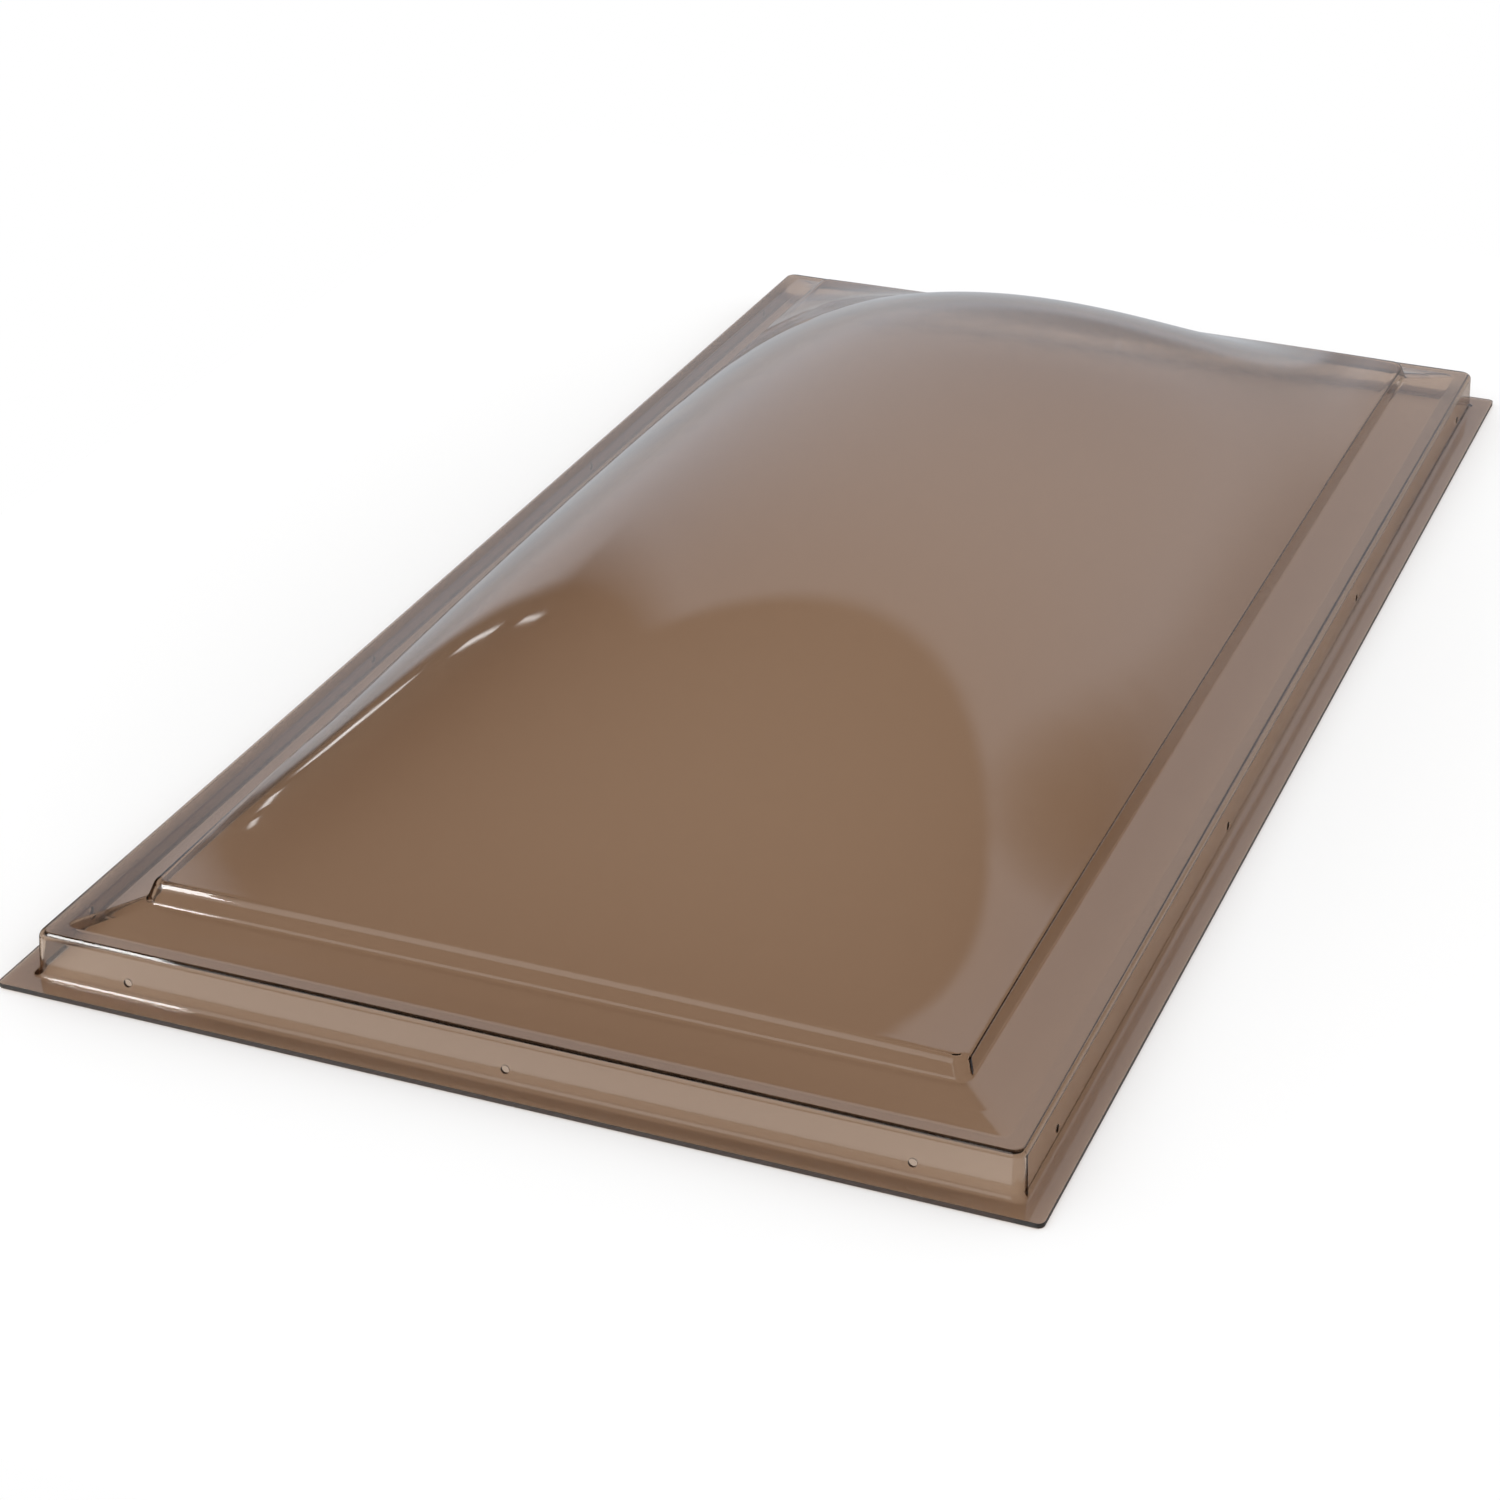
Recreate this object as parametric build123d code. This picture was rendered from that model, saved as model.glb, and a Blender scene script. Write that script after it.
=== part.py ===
from build123d import *
import os
from math import atan2, degrees, sqrt

# A roof skylight formed from one sheet of tinted clear plastic. The hot sheet is drawn over a frame,
# which shapes its flange, skirt, shelf and step wall, and is then blown free to make the dome.
# X runs across the skylight, Y along it and Z up. The flange stands on Z = 0.

# The sheet
sheet_thickness = 3.0

# Plan size along the top edge of the skirt, made to fit between rafters at 24 inch centres
skirt_width = 571.5
skirt_length = 1181.1

# Flange that lies on the roof
flange_width = 16.5
flange_corner = 4.0

# Skirt that hangs outside the curb, leaning out a little so that the sheet leaves its mould
shelf_height = 30.0
skirt_lean = 1.5
skirt_corner = 6.5
skirt_foot_radius = 4.0
shelf_edge_radius = 4.5

# Shelf that rests on the curb, with a crease where it starts to climb to the wall
crease_inset = 26.0
crease_corner = 8.0
crease_radius = 3.0

# Step wall that lifts the dome clear of the curb, and the rounded brow along its top
climb_rise = 4.0
wall_foot_inset = 43.0
wall_rise = 14.0
wall_lean = 4.0
wall_corner = 9.0
wall_foot_radius = 3.0
brow_radius = 6.0

# Dome: an arc across, which falls away to both ends by a smooth curve, full in the middle
dome_rise = 125.0
crown_fullness_share = 0.6
end_fall_share = 0.8
dome_row_count = 25
dome_column_count = 13

# Screw holes drilled through the skirt, evenly spaced between the end ones on each side
screw_hole_radius = 2.5
screw_height = 11.0
screw_end_distance = 58.0
short_side_screws = 3
long_side_screws = 4

# How far a cutting shape runs past what it cuts
overrun = 10.0

# The step wall's foot and top, counted from the shelf and from the skirt's top edge
wall_foot_height = shelf_height + climb_rise
wall_top_height = wall_foot_height + wall_rise
wall_top_inset = wall_foot_inset + wall_lean

# The dome's arc springs from the wall's top edge
dome_half_width = skirt_width / 2 - wall_top_inset
dome_half_length = skirt_length / 2 - wall_top_inset
arc_radius = (dome_half_width**2 + dome_rise**2) / (2 * dome_rise)

# The skirt's lean as an angle
skirt_taper = degrees(atan2(skirt_lean, shelf_height - sheet_thickness))

# The wall's line is carried up past the crown, where the dome then cuts it off
past_crown = wall_top_height + dome_rise + overrun
past_crown_inset = wall_foot_inset + wall_lean / wall_rise * (past_crown - wall_foot_height)

# Top side of the sheet in section: distance in from the skirt's top edge, height, and corner radius
top_section = [
    (-flange_width, sheet_thickness, flange_corner),
    (-skirt_lean, sheet_thickness, skirt_corner + skirt_lean),
    (0, shelf_height, skirt_corner),
    (crease_inset, shelf_height, crease_corner),
    (wall_foot_inset, wall_foot_height, wall_corner),
    (past_crown_inset, past_crown, wall_corner),
]


def set_back(section, depth):
    """The same section on the sheet's other side: each bend moves along its mitre, and its corners follow."""
    runs = [Vector(b[0] - a[0], b[1] - a[1]).normalized() for a, b in zip(section, section[1:])]
    sides = [Vector(run.Y, -run.X) for run in runs]
    moved = []
    for (inset, height, corner), before, after in zip(section, sides[:1] + sides, sides + sides[-1:]):
        mitre = (before + after) * (depth / (1 + before.dot(after)))
        moved.append((inset + mitre.X, height + mitre.Y, corner - mitre.X))
    return moved


def ring(inset, height, corner):
    """A rounded rectangle that follows the skirt's top edge at this distance in from it."""
    return Pos(0, 0, height) * RectangleRounded(skirt_width - 2 * inset, skirt_length - 2 * inset, corner)


def dome_point(x, y, depth):
    """A point of the dome's top side, or of the surface that lies this deep under it."""
    arc = sqrt(arc_radius**2 - x**2)
    height_across = arc - arc_radius + dome_rise
    along_share = y / dome_half_length
    full_share = 1 + crown_fullness_share * along_share**2 - end_fall_share * along_share**4
    full_slope = 2 * crown_fullness_share * along_share - 4 * end_fall_share * along_share**3
    height_share = (1 - along_share**2) * full_share
    height_slope = (1 - along_share**2) * full_slope - 2 * along_share * full_share
    slope_across = -x / arc * height_share
    slope_along = height_across * height_slope / dome_half_length
    normal = Vector(-slope_across, -slope_along, 1).normalized()
    return Vector(x, y, wall_top_height + height_across * height_share) - normal * depth


def evenly_spaced(half_span, count):
    """This many places from one end of a span to the other, about its middle."""
    return [half_span * (2 * place / (count - 1) - 1) for place in range(count)]


def dome_surface(depth):
    """One side of the dome, a little larger than the wall that carries it."""
    across = evenly_spaced(dome_half_width + overrun, dome_column_count)
    along = evenly_spaced(dome_half_length + overrun, dome_row_count)
    return Face.make_surface_from_array_of_points([[dome_point(x, y, depth) for x in across] for y in along])


def formed_block(section, depth):
    """Everything under one side of the sheet, from the skirt's foot to the dome, with its bends rounded."""
    skirt_foot, skirt_top, crease, wall_foot, wall_end = section
    skirt = extrude(ring(*skirt_foot), amount=skirt_top[1] - skirt_foot[1], taper=skirt_taper)
    skirt = fillet(skirt.faces().sort_by(Axis.Z)[-1].edges(), shelf_edge_radius - depth)
    climb = loft([ring(*crease), ring(*wall_foot)], ruled=True)
    step = loft([ring(*wall_foot), ring(*wall_end)], ruled=True)
    step -= extrude(dome_surface(depth), amount=dome_rise + overrun, dir=(0, 0, 1))
    step = fillet(step.faces().sort_by(Axis.Z)[-1].edges(), brow_radius - depth)
    block = skirt + climb + step
    shelf = block.faces().filter_by(Plane.XY).sort_by(Axis.Z)[-1]
    block = fillet(shelf.inner_wires()[0].edges(), crease_radius + depth)
    wall_foot_edges = block.edges().group_by(Axis.Z).group_for(step.edges().sort_by(Axis.Z)[0])
    return fillet(wall_foot_edges, wall_foot_radius + depth)


def screw_holes():
    """Plain holes through the skirt, square to each side, for screws into the curb."""
    across = evenly_spaced(skirt_width / 2 - screw_end_distance, short_side_screws)
    along = evenly_spaced(skirt_length / 2 - screw_end_distance, long_side_screws)
    through_ends = Rot(90, 0, 0) * Cylinder(screw_hole_radius, skirt_length + 2 * overrun)
    through_sides = Rot(0, 90, 0) * Cylinder(screw_hole_radius, skirt_width + 2 * overrun)
    return [Pos(x, 0, screw_height) * through_ends for x in across] + [
        Pos(0, y, screw_height) * through_sides for y in along
    ]


under_section = set_back(top_section, sheet_thickness)

# The solid up to the sheet's top side, with the flange round it
flange = extrude(ring(*under_section[0]), amount=sheet_thickness)
dome = formed_block(top_section[1:], 0) + flange
flange_top = dome.faces().filter_by(Plane.XY).sort_by(Axis.Z)[1]
dome = fillet(flange_top.inner_wires()[0].edges(), skirt_foot_radius)

# The hollow under the sheet, open below
dome -= formed_block(under_section[1:], sheet_thickness)
dome -= extrude(ring(*under_section[1]), amount=-overrun)
flange_under = dome.faces().filter_by(Plane.XY).sort_by(Axis.Z)[0]
dome = fillet(flange_under.inner_wires()[0].edges(), skirt_foot_radius + sheet_thickness)

dome -= screw_holes()

os.makedirs("parts", exist_ok=True)
export_step(dome, "parts/skylight_dome.step")
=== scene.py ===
from math import cos, radians, sin, tau

import bmesh
import bpy
import numpy as np
from mathutils import Euler, Matrix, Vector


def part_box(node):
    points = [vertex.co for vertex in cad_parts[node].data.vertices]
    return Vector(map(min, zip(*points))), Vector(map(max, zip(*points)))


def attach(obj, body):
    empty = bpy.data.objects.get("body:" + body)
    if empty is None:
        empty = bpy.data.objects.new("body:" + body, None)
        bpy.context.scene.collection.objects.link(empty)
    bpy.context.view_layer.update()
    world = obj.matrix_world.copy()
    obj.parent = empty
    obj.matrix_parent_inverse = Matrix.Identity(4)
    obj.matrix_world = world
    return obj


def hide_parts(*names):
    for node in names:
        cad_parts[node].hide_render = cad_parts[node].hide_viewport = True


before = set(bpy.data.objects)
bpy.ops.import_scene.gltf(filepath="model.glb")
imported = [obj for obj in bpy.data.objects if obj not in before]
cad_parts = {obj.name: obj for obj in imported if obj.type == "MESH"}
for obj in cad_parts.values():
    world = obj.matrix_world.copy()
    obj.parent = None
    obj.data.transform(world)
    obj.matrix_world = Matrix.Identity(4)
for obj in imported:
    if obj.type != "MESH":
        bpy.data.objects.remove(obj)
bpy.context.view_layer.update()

# The skylight is one sheet of bronze-tinted clear polycarbonate. It is heated, drawn over a frame that
# shapes its flange, skirt, shelf and step wall, and then blown free, so that air alone shapes the dome.
# Its outline is routed after forming, which leaves a dull cut edge all round the flange.

# Sizes of the sheet's top side, in millimetres. The sheet is thinner on the skirt, where it is drawn most.
# The shelf lies flat on the frame as far in as the frame mark, and rises from there to the crease.
MM = 0.001
sheet_thickness = 3.0
skirt_thickness = 1.7
flange_width = 16.5
flange_corner = 4.0
skirt_lean = 1.5
skirt_corner = 6.5
skirt_foot_radius = 4.0
shelf_height = 30.0
shelf_edge_radius = 4.5
frame_mark_inset = 12.0
frame_mark_radius = 6.0
shelf_rise = 2.6
crease_inset = 26.0
crease_corner = 8.0
crease_radius = 3.0
climb_rise = 4.0
wall_foot_inset = 43.0
wall_foot_radius = 3.0
wall_corner = 9.0
wall_top_inset = 47.0
wall_top_height = 48.0
brow_radius = 6.0
brow_reach = 5.0
crown_fullness_share = 0.6
end_fall_share = 0.8
crease_height = shelf_height + shelf_rise
wall_foot_height = crease_height + climb_rise

# The flange's outline and the crown's height come from the solid
highest = np.array(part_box("skylight_dome")[1]) / MM
half_width, half_length = highest[:2] - flange_width
dome_half_width = half_width - wall_top_inset
dome_half_length = half_length - wall_top_inset
dome_rise = highest[2] - wall_top_height
arc_radius = (dome_half_width**2 + dome_rise**2) / (2 * dome_rise)

# How finely the sheet is drawn: steps along each side, round half a corner, and round each bend. The dome's
# slopes are taken over the last step, in millimetres.
side_steps = {"right": 132, "back": 64, "left": 132, "front": 64}
half_corner_steps = 6
bend_steps = 8
slope_step = 0.01


def unit(vectors):
    """The same vectors, each of length one."""
    return vectors / np.linalg.norm(vectors, axis=-1, keepdims=True)


def dome_height(x, y):
    """Height of the blown dome: an arc across, which falls away to both ends by a smooth curve."""
    height_across = np.sqrt(arc_radius**2 - x**2) - arc_radius + dome_rise
    along_share = y / dome_half_length
    full_share = 1 + crown_fullness_share * along_share**2 - end_fall_share * along_share**4
    return wall_top_height + height_across * (1 - along_share**2) * full_share


def dome_normal(x, y):
    """Direction square to the dome, from the slopes of its height."""
    slope_across = (dome_height(x + slope_step, y) - dome_height(x - slope_step, y)) / (2 * slope_step)
    slope_along = (dome_height(x, y + slope_step) - dome_height(x, y - slope_step)) / (2 * slope_step)
    return unit(np.stack([-slope_across, -slope_along, np.ones_like(x)], axis=-1))


# Places round the sheet, from the middle of one corner to the middle of the next. Each holds the way that the
# side faces there, as an angle, and how far along the straight part of the side it lies, as x and y shares.
right_angle = 90.0
facing, x_shares, y_shares = [], [], []
for quarter, steps in enumerate(side_steps.values()):
    corner_part = np.linspace(-right_angle / 2, 0, half_corner_steps + 1)
    angle = np.concatenate([corner_part[:-1], np.zeros(steps + 1), -corner_part[::-1][1:-1]])
    straight_part = np.linspace(-1, 1, steps + 1)
    along = np.concatenate([-np.ones(half_corner_steps), straight_part, np.ones(half_corner_steps - 1)])
    whole = np.ones_like(along)
    facing.append(np.radians(angle + right_angle * quarter))
    x_shares.append([whole, -along, -whole, along][quarter])
    y_shares.append([along, whole, -along, -whole][quarter])
side_lengths = [len(side) for side in facing]
facing, x_shares, y_shares = (np.concatenate(part) for part in (facing, x_shares, y_shares))
ring_direction = np.stack([-np.sin(facing), np.cos(facing), np.zeros_like(facing)], axis=-1)


def ring(inset, height, corner):
    """A rounded rectangle that follows the skirt's top edge at this distance in from it."""
    x = x_shares * (half_width - inset - corner) + corner * np.cos(facing)
    y = y_shares * (half_length - inset - corner) + corner * np.sin(facing)
    return np.stack([x, y, np.full_like(x, height)], axis=-1)


def bend(before, at, after, radius):
    """Rings that carry the sheet round one bend, each with the way the sheet runs there."""
    run_in, run_out = unit(at - before), unit(after - at)
    turn = np.arccos((run_in * run_out).sum(axis=-1, keepdims=True))
    aside = unit(run_out - run_in * np.cos(turn))
    start = at - run_in * radius * np.tan(turn / 2)
    rings = []
    for angle in (turn * step / bend_steps for step in range(bend_steps + 1)):
        place = start + radius * (run_in * np.sin(angle) + aside * (1 - np.cos(angle)))
        rings.append((place, run_in * np.cos(angle) + aside * np.sin(angle)))
    return rings


flange_edge = ring(-flange_width, sheet_thickness, flange_corner)
skirt_foot = ring(-skirt_lean, sheet_thickness, skirt_corner + skirt_lean)
shelf_edge = ring(0, shelf_height, skirt_corner)
frame_mark = ring(frame_mark_inset, shelf_height, skirt_corner)
crease = ring(crease_inset, crease_height, crease_corner)
wall_foot = ring(wall_foot_inset, wall_foot_height, wall_corner)
brow = ring(wall_top_inset, wall_top_height, wall_corner)
above_brow = ring(wall_top_inset + brow_reach, wall_top_height, wall_corner - brow_reach)
above_brow[:, 2] = dome_height(above_brow[:, 0], above_brow[:, 1])

rim = [(flange_edge, unit(skirt_foot - flange_edge))]
skirt_foot_start = len(rim)
rim += bend(flange_edge, skirt_foot, shelf_edge, skirt_foot_radius)
shelf_edge_start = len(rim)
rim += bend(skirt_foot, shelf_edge, frame_mark, shelf_edge_radius)
frame_mark_start = len(rim)
rim += bend(shelf_edge, frame_mark, crease, frame_mark_radius)
rim += bend(frame_mark, crease, wall_foot, crease_radius)
rim += bend(crease, wall_foot, brow, wall_foot_radius)
rim += bend(wall_foot, brow, above_brow, brow_radius)
rim_places = np.stack([place for place, run in rim])
rim_normals = unit(np.stack([np.cross(ring_direction, run) for place, run in rim]))
ring_count, ring_length = rim_places.shape[:2]
drawn_down = np.linspace(sheet_thickness, skirt_thickness, bend_steps + 1)
rim_thickness = np.full(ring_count, sheet_thickness)
rim_thickness[skirt_foot_start:shelf_edge_start] = drawn_down
rim_thickness[shelf_edge_start:frame_mark_start] = drawn_down[::-1]

# The dome's own grid spans the last ring: its rows and columns join opposite sides of it
side_starts = np.concatenate([[0], np.cumsum(side_lengths)])
side_ends = list(zip(side_starts, side_starts[1:]))
closed = np.concatenate([rim_places[-1], rim_places[-1][:1]])
right, back, left, front = (closed[start:end + 1, :2] for start, end in side_ends)
left, back = left[::-1], back[::-1]
column_shares = ((front[:, 0] - front[0, 0]) / np.ptp(front[:, 0]))[None, :, None]
row_shares = ((right[:, 1] - right[0, 1]) / np.ptp(right[:, 1]))[:, None, None]
between_sides = left[:, None] * (1 - column_shares) + right[:, None] * column_shares
between_ends = front[None] * (1 - row_shares) + back[None] * row_shares
front_line = front[0] * (1 - column_shares) + front[-1] * column_shares
back_line = back[0] * (1 - column_shares) + back[-1] * column_shares
between_corners = front_line * (1 - row_shares) + back_line * row_shares
plan = (between_sides + between_ends - between_corners)[1:-1, 1:-1]
dome_places = np.concatenate([plan, dome_height(plan[..., 0], plan[..., 1])[..., None]], axis=-1)
dome_normals = dome_normal(plan[..., 0], plan[..., 1])

# Numbers of the vertices: the rim ring by ring, then the grid row by row, for the top side and the underside
rim_numbers = np.arange(ring_count * ring_length).reshape(ring_count, ring_length)
dome_count = plan.shape[0] * plan.shape[1]
grid_numbers = np.zeros((plan.shape[0] + 2, plan.shape[1] + 2), int)
last_ring = np.append(rim_numbers[-1], rim_numbers[-1][0])
sides = [last_ring[start:end + 1] for start, end in side_ends]
grid_numbers[:, -1], grid_numbers[-1, ::-1], grid_numbers[::-1, 0], grid_numbers[0] = sides
grid_numbers[1:-1, 1:-1] = rim_numbers.size + np.arange(dome_count).reshape(plan.shape[:2])


def quads(numbers):
    """One face for each cell of a grid of vertex numbers."""
    corners = numbers[:-1, :-1], numbers[:-1, 1:], numbers[1:, 1:], numbers[1:, :-1]
    return np.stack(corners, axis=-1).reshape(-1, 4)


round_rim = np.concatenate([rim_numbers, rim_numbers[:, :1]], axis=1)
top_places = np.concatenate([rim_places.reshape(-1, 3), dome_places.reshape(-1, 3)])
top_normals = np.concatenate([rim_normals.reshape(-1, 3), dome_normals.reshape(-1, 3)])
thickness = np.concatenate([np.repeat(rim_thickness, ring_length), np.full(dome_count, sheet_thickness)])
under_places = top_places - thickness[:, None] * top_normals
top_faces = np.concatenate([quads(round_rim), quads(grid_numbers)])
under_faces = top_faces[:, ::-1] + len(top_places)
edge_faces = quads(np.stack([round_rim[0] + len(top_places), round_rim[0]]))

mesh = bpy.data.meshes.new("skylight_sheet")
mesh.from_pydata(
    (np.concatenate([top_places, under_places]) * MM).tolist(),
    [],
    np.concatenate([top_faces, under_faces, edge_faces]).tolist(),
)

# Dull places: the routed edge and, less so, the underside of the shelf's edge, which lay on the frame
frame_mark_share = 0.4
under_dullness = np.zeros(len(under_faces))
under_dullness[shelf_edge_start * ring_length:frame_mark_start * ring_length] = frame_mark_share
dull = mesh.attributes.new("dull", "FLOAT", "FACE")
dull.data.foreach_set(
    "value", np.concatenate([np.zeros(len(top_faces)), under_dullness, np.ones(len(edge_faces))]))
sheet = bpy.data.objects.new("skylight_sheet", mesh)
bpy.context.scene.collection.objects.link(sheet)

# Screw holes, drilled through the skirt after forming, for the screws that hold the skylight to its curb.
# They are plain holes, and their walls are as dull as the routed edge.
screw_hole_radius = 2.5
screw_height = 11.0
screw_end_distance = 58.0
short_side_screws = 3
long_side_screws = 4
drill_depth = 30.0
drill_sides = 40

drills = bmesh.new()
across = np.linspace(-1, 1, short_side_screws) * (half_width - screw_end_distance)
along = np.linspace(-1, 1, long_side_screws) * (half_length - screw_end_distance)
through_ends = Euler((radians(right_angle), 0, 0)).to_matrix().to_4x4()
through_sides = Euler((0, radians(right_angle), 0)).to_matrix().to_4x4()
screws = [((x, end * half_length, screw_height), through_ends) for x in across for end in (-1, 1)]
screws += [((side * half_width, y, screw_height), through_sides) for y in along for side in (-1, 1)]
for place, way in screws:
    bmesh.ops.create_cone(
        drills, cap_ends=True, segments=drill_sides, depth=drill_depth * MM,
        radius1=screw_hole_radius * MM, radius2=screw_hole_radius * MM,
        matrix=Matrix.Translation(np.array(place) * MM) @ way,
    )
drill_mesh = bpy.data.meshes.new("drills")
drills.to_mesh(drill_mesh)
drills.free()
drill_cut = drill_mesh.attributes.new("dull", "FLOAT", "FACE")
drill_cut.data.foreach_set("value", np.ones(len(drill_mesh.polygons)))
drill = bpy.data.objects.new("drills", drill_mesh)
bpy.context.scene.collection.objects.link(drill)

drilling = sheet.modifiers.new("screw_holes", "BOOLEAN")
drilling.operation = "DIFFERENCE"
drilling.solver = "EXACT"
drilling.object = drill
drilled = bpy.data.meshes.new_from_object(sheet.evaluated_get(bpy.context.evaluated_depsgraph_get()))
sheet.modifiers.clear()
sheet.data = drilled
bpy.data.objects.remove(drill)

# The sheet is smooth but for its routed and drilled edges, which are sharper than this many degrees
sharp_from = 40.0
drilled.shade_smooth()
drilled.set_sharp_from_angle(angle=radians(sharp_from))
flat_faces = sheet.modifiers.new("flat_faces_stay_flat", "WEIGHTED_NORMAL")
flat_faces.keep_sharp = True


def linear(colour):
    """An sRGB hex colour as the linear values that the shaders take."""
    shares = np.array([int(colour[place:place + 2], 16) / 255 for place in (1, 3, 5)])
    low, high = shares / 12.92, ((shares + 0.055) / 1.055) ** 2.4
    return (*np.where(shares <= 0.04045, low, high), 1.0)


def add_node(tree, kind, inputs, **settings):
    """Adds a node to a node tree. An input that is another node's output is linked, and any other is set."""
    node = tree.nodes.new(kind)
    for name, value in settings.items():
        setattr(node, name, value)
    for name, value in inputs.items():
        if isinstance(value, bpy.types.NodeSocket):
            tree.links.new(value, node.inputs[name])
        else:
            node.inputs[name].default_value = value
    return node


# Bronze-tinted polycarbonate as it leaves the oven: clear all through, with a brown dye that takes out most
# blue, a hard gloss with faint scuffs, a slight ripple from the run over the frame, and dull cut edges. Light
# for the floor goes straight through it, so that its shadow stays soft and pale.
polycarbonate_ior = 1.585
dye_density = 250.0
ripple_width = 110.0
ripple_height = 0.25
scuff_width = 14.0
scuff_detail, scuff_raggedness = 3.0, 0.7
scuff_low_share, scuff_high_share = 0.35, 0.75
clean_roughness, scuffed_roughness, cut_roughness = 0.03, 0.07, 0.5
bronze = bpy.data.materials.new("bronze_polycarbonate_thermoformed")
bronze.use_nodes = True
tree = bronze.node_tree
tree.nodes.clear()
sheet_point = add_node(tree, "ShaderNodeTexCoord", {})
ripple = add_node(tree, "ShaderNodeTexNoise", {
    "Vector": sheet_point.outputs["Object"], "Scale": 1 / (ripple_width * MM)})
surface = add_node(tree, "ShaderNodeBump", {
    "Height": ripple.outputs["Fac"], "Strength": 1.0, "Distance": ripple_height * MM})
scuffs = add_node(tree, "ShaderNodeTexNoise", {
    "Vector": sheet_point.outputs["Object"], "Scale": 1 / (scuff_width * MM),
    "Detail": scuff_detail, "Roughness": scuff_raggedness})
gloss = add_node(tree, "ShaderNodeMapRange", {
    "Value": scuffs.outputs["Fac"], "From Min": scuff_low_share, "From Max": scuff_high_share,
    "To Min": clean_roughness, "To Max": scuffed_roughness})
cut = add_node(tree, "ShaderNodeAttribute", {}, attribute_name="dull")
roughness = add_node(tree, "ShaderNodeMapRange", {
    "Value": cut.outputs["Fac"], "To Min": gloss.outputs["Result"], "To Max": cut_roughness})
sheet_surface = add_node(tree, "ShaderNodeBsdfPrincipled", {
    "Base Color": linear("#EDE3D8"), "Transmission Weight": 1.0, "IOR": polycarbonate_ior,
    "Roughness": roughness.outputs["Result"], "Normal": surface.outputs["Normal"]})
let_light_through = add_node(tree, "ShaderNodeBsdfTransparent", {"Color": linear("#F0EBE6")})
path = add_node(tree, "ShaderNodeLightPath", {})
lamp_ray = add_node(tree, "ShaderNodeMath", {
    0: path.outputs["Is Shadow Ray"], 1: path.outputs["Is Diffuse Ray"]}, operation="MAXIMUM")
both = add_node(tree, "ShaderNodeMixShader", {
    0: lamp_ray.outputs["Value"], 1: sheet_surface.outputs["BSDF"], 2: let_light_through.outputs["BSDF"]})
dye = add_node(tree, "ShaderNodeVolumeAbsorption", {"Color": linear("#B6956D"), "Density": dye_density})
add_node(tree, "ShaderNodeOutputMaterial", {
    "Surface": both.outputs["Shader"], "Volume": dye.outputs["Volume"]})
drilled.materials.clear()
drilled.materials.append(bronze)

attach(sheet, "root")
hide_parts("skylight_dome")

# The floor is a sheet of matt white studio paper, laid flat just under the flange and a little larger all
# round, where it takes the skylight's shadow. The gloss doesn't show it, since the studio has its own floor.
floor_margin = 350.0
floor_drop = 0.4
floor_mesh = bpy.data.meshes.new("studio_floor")
floor_mesh.from_pydata(
    [(x * (highest[0] + floor_margin) * MM, y * (highest[1] + floor_margin) * MM, -floor_drop * MM)
     for x, y in ((-1, -1), (1, -1), (1, 1), (-1, 1))],
    [], [(0, 1, 2, 3)])
floor = bpy.data.objects.new("studio_floor", floor_mesh)
bpy.context.scene.collection.objects.link(floor)
paper = bpy.data.materials.new("matt_white_paper")
paper.use_nodes = True
tree = paper.node_tree
tree.nodes.clear()
white_paper = add_node(tree, "ShaderNodeBsdfDiffuse", {"Color": linear("#FFFFFF")})
add_node(tree, "ShaderNodeOutputMaterial", {"Surface": white_paper.outputs["BSDF"]})
floor_mesh.materials.append(paper)
floor.visible_glossy = False

# The studio, as the sheet's gloss shows it: a pale wall behind, with a slatted slit of daylight beside it and
# a grey floor before it, white paper and a window in front on the left, and a dim room all round. Soft light
# falls evenly on the paper under the skylight, and what lies beyond that paper is white.

# Places are in degrees, to the right from straight behind the skylight and up from level. Each blur is half
# the width of a soft edge, in degrees too but for the wall's top and the slats. The wall is shaded along its
# foot and lost in haze at its upper left.
wall_left, wall_left_blur = -42.0, 1.2
wall_right, wall_right_blur = 29.0, 2.5
wall_turn, wall_height_share, wall_top_blur = -16.0, 1.17, 0.05
haze_right, haze_right_blur = -39.5, 4.5
haze_bottom, haze_bottom_blur = 18.0, 6.0
slit_left, slit_right, slit_side_blur = -45.2, -44.6, 0.2
slit_bottom, slit_top, slit_end_blur = 1.0, 24.0, 1.0
slat_pitch, slat_edge, slat_blur = 9.0, 11.5, 0.3
floor_top, floor_top_blur = -2.0, 4.0
dark_floor_left, dark_floor_left_blur = 5.0, 3.0
shade_left, shade_left_blur = -17.0, 10.0
shade_bottom, shade_bottom_blur = -1.0, 3.0
shade_top, shade_top_blur = 8.0, 6.0
window_right, window_right_blur = -110.0, 5.0
window_bottom, window_bottom_blur = 9.0, 3.0
window_top, window_top_blur = 58.0, 6.0
paper_right, paper_right_blur = -100.0, 5.0
paper_top, paper_top_blur = -9.0, 3.0
plain_light, slit_light, window_light, paper_light, soft_strength = 1.0, 3.0, 1.2, 1.35, 1.03
room = bpy.data.worlds.new("studio")
bpy.context.scene.world = room
room.use_nodes = True
room.cycles.sampling_method = "NONE"
tree = room.node_tree
tree.nodes.clear()
sight = add_node(tree, "ShaderNodeTexCoord", {}).outputs["Generated"]
parts = add_node(tree, "ShaderNodeSeparateXYZ", {"Vector": sight}).outputs
azimuth = add_node(tree, "ShaderNodeMath", {0: parts["X"], 1: parts["Y"]}, operation="ARCTAN2")
elevation = add_node(tree, "ShaderNodeMath", {0: parts["Z"]}, operation="ARCSINE")
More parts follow.
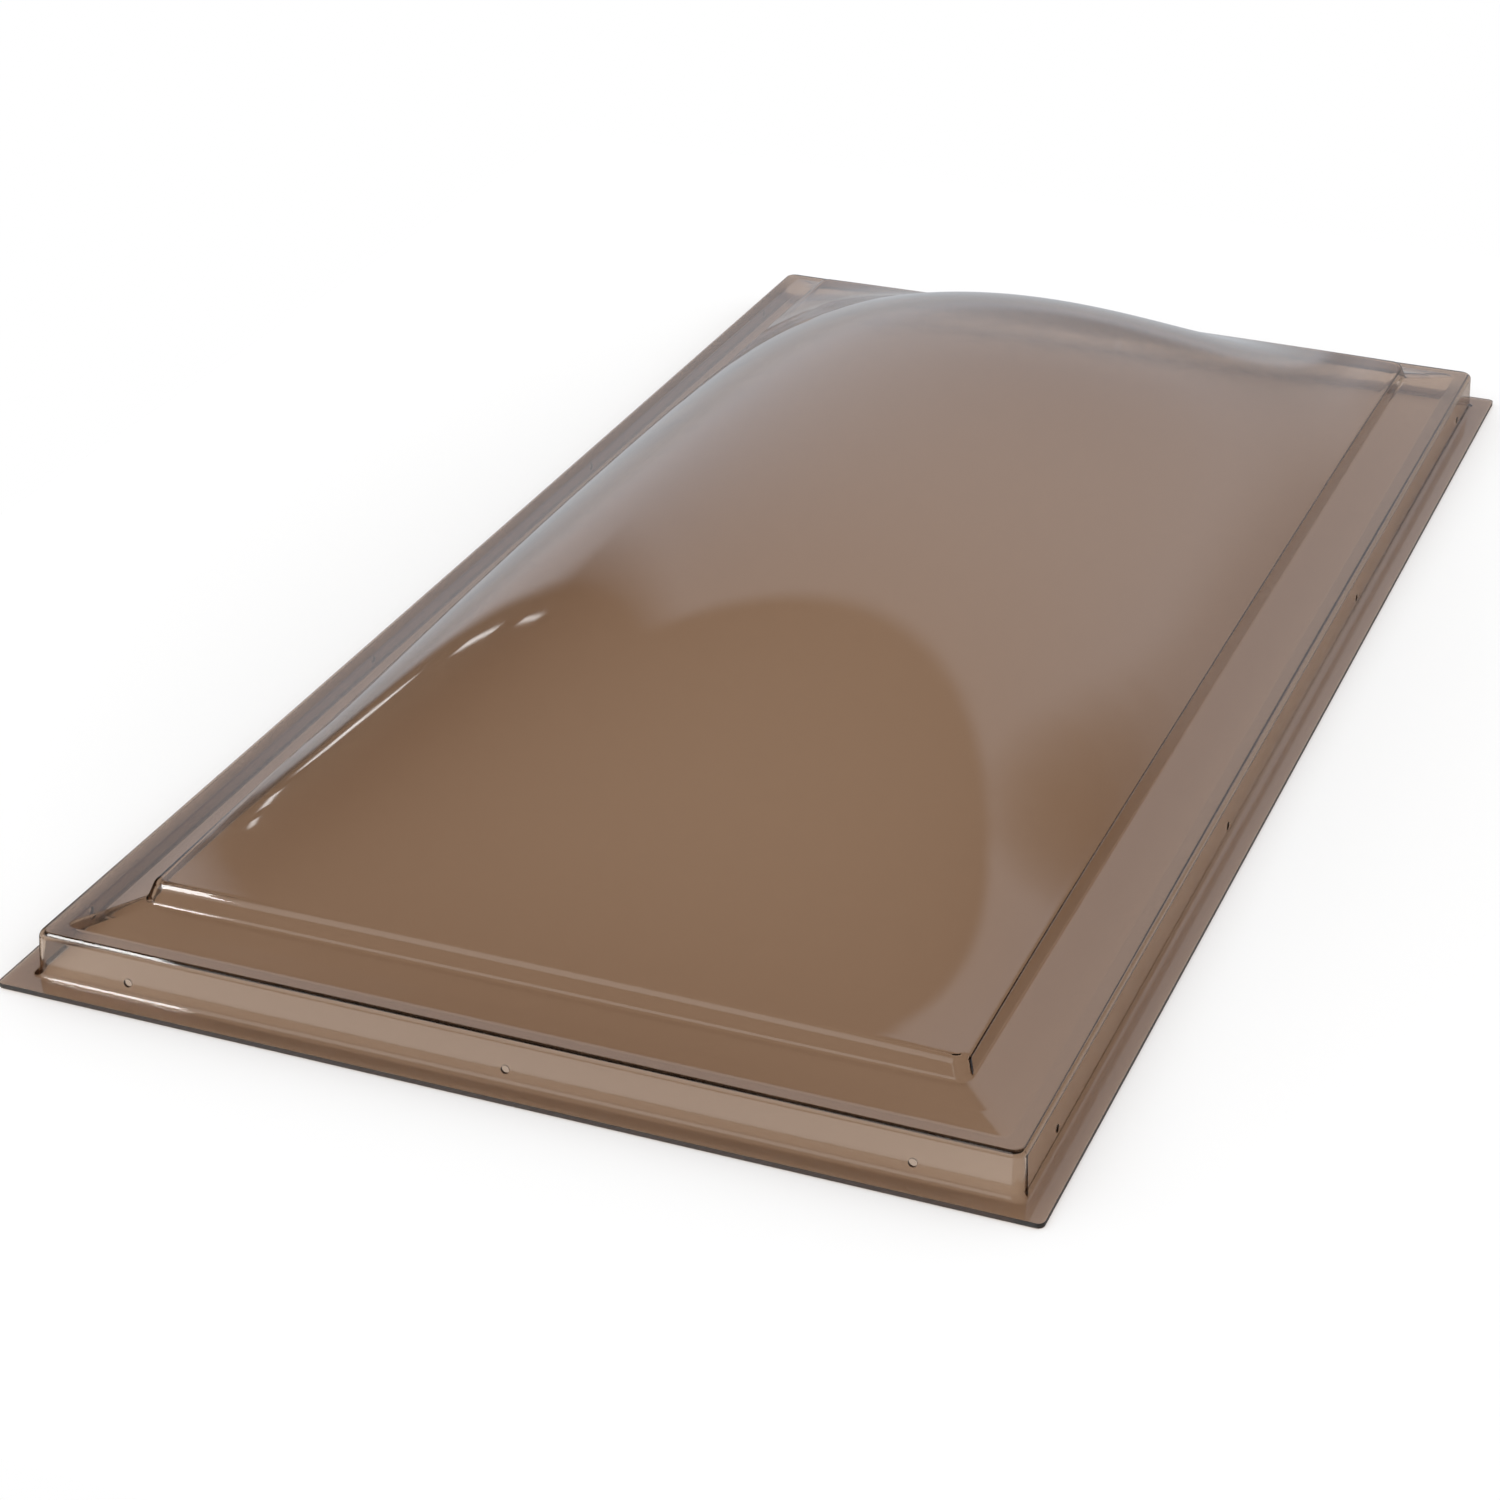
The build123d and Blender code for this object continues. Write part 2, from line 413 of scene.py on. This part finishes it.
turn = add_node(tree, "ShaderNodeMath", {0: azimuth.outputs["Value"]}, operation="DEGREES").outputs["Value"]
rise = add_node(tree, "ShaderNodeMath", {0: elevation.outputs["Value"]}, operation="DEGREES").outputs["Value"]
wall_slope = (wall_height_share * sin(radians(wall_turn)), wall_height_share * cos(radians(wall_turn)), -1)
below_wall_top = add_node(tree, "ShaderNodeVectorMath", {0: sight, 1: wall_slope}, operation="DOT_PRODUCT")
slat_phase = add_node(tree, "ShaderNodeMath", {
    0: rise, 1: tau / slat_pitch, 2: -slat_edge * tau / slat_pitch}, operation="MULTIPLY_ADD")
slats = add_node(tree, "ShaderNodeMath", {0: slat_phase.outputs["Value"]}, operation="SINE")
under_haze = add_node(tree, "ShaderNodeMapRange", {
    "Value": rise, "From Min": haze_bottom + haze_bottom_blur, "From Max": haze_bottom - haze_bottom_blur},
    interpolation_type="SMOOTHSTEP")
beside_haze = add_node(tree, "ShaderNodeMapRange", {
    "Value": turn, "From Min": haze_right - haze_right_blur, "From Max": haze_right + haze_right_blur},
    interpolation_type="SMOOTHSTEP")
clear_air = add_node(tree, "ShaderNodeMath", {
    0: under_haze.outputs["Result"], 1: beside_haze.outputs["Result"]}, operation="MAXIMUM")

# Each part of the room: its name, colour and light, what it is seen through or lies on, and its edges. A part
# lies past an edge, or short of it where the blur is negative. Later parts cover earlier ones.
room_parts = (
    ("wall", "#D7DDE7", plain_light, "clear_air", (
        (turn, wall_left, wall_left_blur), (turn, wall_right, -wall_right_blur),
        (below_wall_top.outputs["Value"], 0, wall_top_blur))),
    ("slit", "#FFFFFF", slit_light, None, (
        (turn, slit_left, slit_side_blur), (turn, slit_right, -slit_side_blur),
        (rise, slit_bottom, slit_end_blur), (rise, slit_top, -slit_end_blur),
        (slats.outputs["Value"], 0, slat_blur))),
    ("floor", "#C5C8CD", plain_light, None, (
        (turn, wall_left, wall_left_blur), (rise, floor_top, -floor_top_blur))),
    ("dark_floor", "#A6A8AC", plain_light, None, (
        (turn, dark_floor_left, dark_floor_left_blur), (rise, floor_top, -floor_top_blur))),
    ("shade", "#A9AEB6", plain_light, "wall", (
        (turn, shade_left, shade_left_blur), (rise, shade_bottom, shade_bottom_blur),
        (rise, shade_top, -shade_top_blur))),
    ("window", "#FFFFFF", window_light, None, (
        (turn, window_right, -window_right_blur), (rise, window_bottom, window_bottom_blur),
        (rise, window_top, -window_top_blur))),
    ("paper", "#FFFFFF", paper_light, None, (
        (turn, paper_right, -paper_right_blur), (rise, paper_top, -paper_top_blur))),
)
shares = {"clear_air": clear_air.outputs["Value"]}
mirrored = linear("#2A2724")
for name, colour, light, carrier, edges in room_parts:
    share = shares.get(carrier, 1.0)
    for way, edge, blur in edges:
        past_edge = add_node(tree, "ShaderNodeMapRange", {
            "Value": way, "From Min": edge - blur, "From Max": edge + blur}, interpolation_type="SMOOTHSTEP")
        inside = add_node(tree, "ShaderNodeMath", {
            0: share, 1: past_edge.outputs["Result"]}, operation="MULTIPLY")
        share = inside.outputs["Value"]
    shares[name] = share
    lit_colour = (*(light * part for part in linear(colour)[:3]), 1.0)
    covered = add_node(tree, "ShaderNodeMix", {0: share, 6: mirrored, 7: lit_colour}, data_type="RGBA")
    mirrored = covered.outputs[2]
path = add_node(tree, "ShaderNodeLightPath", {})
seen = add_node(tree, "ShaderNodeMath", {
    0: path.outputs["Is Camera Ray"], 1: path.outputs["Is Transmission Ray"]}, operation="MAXIMUM")
dim_room = add_node(tree, "ShaderNodeBackground", {"Color": mirrored, "Strength": 1.0})
soft_light = add_node(tree, "ShaderNodeBackground", {"Color": linear("#FFFFFF"), "Strength": soft_strength})
white_beyond = add_node(tree, "ShaderNodeBackground", {"Color": linear("#FFFFFF"), "Strength": 1.0})
lit = add_node(tree, "ShaderNodeMixShader", {
    0: path.outputs["Is Glossy Ray"], 1: soft_light.outputs["Background"], 2: dim_room.outputs["Background"]})
all_round = add_node(tree, "ShaderNodeMixShader", {
    0: seen.outputs["Value"], 1: lit.outputs["Shader"], 2: white_beyond.outputs["Background"]})
add_node(tree, "ShaderNodeOutputWorld", {"Surface": all_round.outputs["Shader"]})

# A small lamp with a flat, even face hangs over the front left corner, where it draws a bright line along the
# shelf's edge and the skirt's foot. Only the sheet's gloss shows it.
lamp_width, lamp_length, lamp_tilt, lamp_strength = 110.0, 320.0, 24.8, 14.5
lamp_place = (-470.0, -770.0, 400.0)
lamp_mesh = bpy.data.meshes.new("corner_lamp")
lamp_mesh.from_pydata(
    [(x * lamp_width / 2 * MM, y * lamp_length / 2 * MM, 0) for x, y in ((-1, -1), (-1, 1), (1, 1), (1, -1))],
    [], [(0, 1, 2, 3)])
lamp = bpy.data.objects.new("corner_lamp", lamp_mesh)
lamp_aim = Matrix.Rotation(radians(lamp_tilt), 4, "X")
lamp.matrix_world = Matrix.Translation(np.array(lamp_place) * MM) @ lamp_aim
bpy.context.scene.collection.objects.link(lamp)
lamp_face = bpy.data.materials.new("lamp_face")
lamp_face.use_nodes = True
lamp_face.cycles.emission_sampling = "NONE"
tree = lamp_face.node_tree
tree.nodes.clear()
lamp_glow = add_node(tree, "ShaderNodeEmission", {"Color": linear("#FFFFFF"), "Strength": lamp_strength})
add_node(tree, "ShaderNodeOutputMaterial", {"Surface": lamp_glow.outputs["Emission"]})
lamp_mesh.materials.append(lamp_face)
lamp.visible_camera = False
lamp.visible_diffuse = False
lamp.visible_transmission = False
lamp.visible_shadow = False

# Light is thrown back and forth many times inside a clear sheet before it leaves, so its paths are long.
# The soft light needs no sharp pools of light from the gloss.
cycles = bpy.context.scene.cycles
cycles.max_bounces = 14
cycles.glossy_bounces = 8
cycles.transmission_bounces = 12
cycles.transparent_max_bounces = 12
cycles.diffuse_bounces = 2
cycles.caustics_reflective = False
cycles.caustics_refractive = False

# The camera stands in front and to the right, a little above the skylight, with a short telephoto lens.
# It is tilted up from straight down, rolled a little and then panned to the left, in degrees.
camera_place = (671.5, -2005.2, 1009.1)
camera_tilt, camera_roll, camera_pan = 62.6946, -0.9127, 21.2401
camera_data = bpy.data.cameras.new("camera")
camera_data.sensor_width = 36.0
camera_data.lens = 83.683
camera = bpy.data.objects.new("camera", camera_data)
camera_aim = Euler([radians(angle) for angle in (camera_tilt, camera_roll, camera_pan)])
camera.matrix_world = Matrix.Translation(np.array(camera_place) * MM) @ camera_aim.to_matrix().to_4x4()
bpy.context.scene.collection.objects.link(camera)
bpy.context.scene.camera = camera
bpy.context.scene.view_settings.view_transform = "Standard"
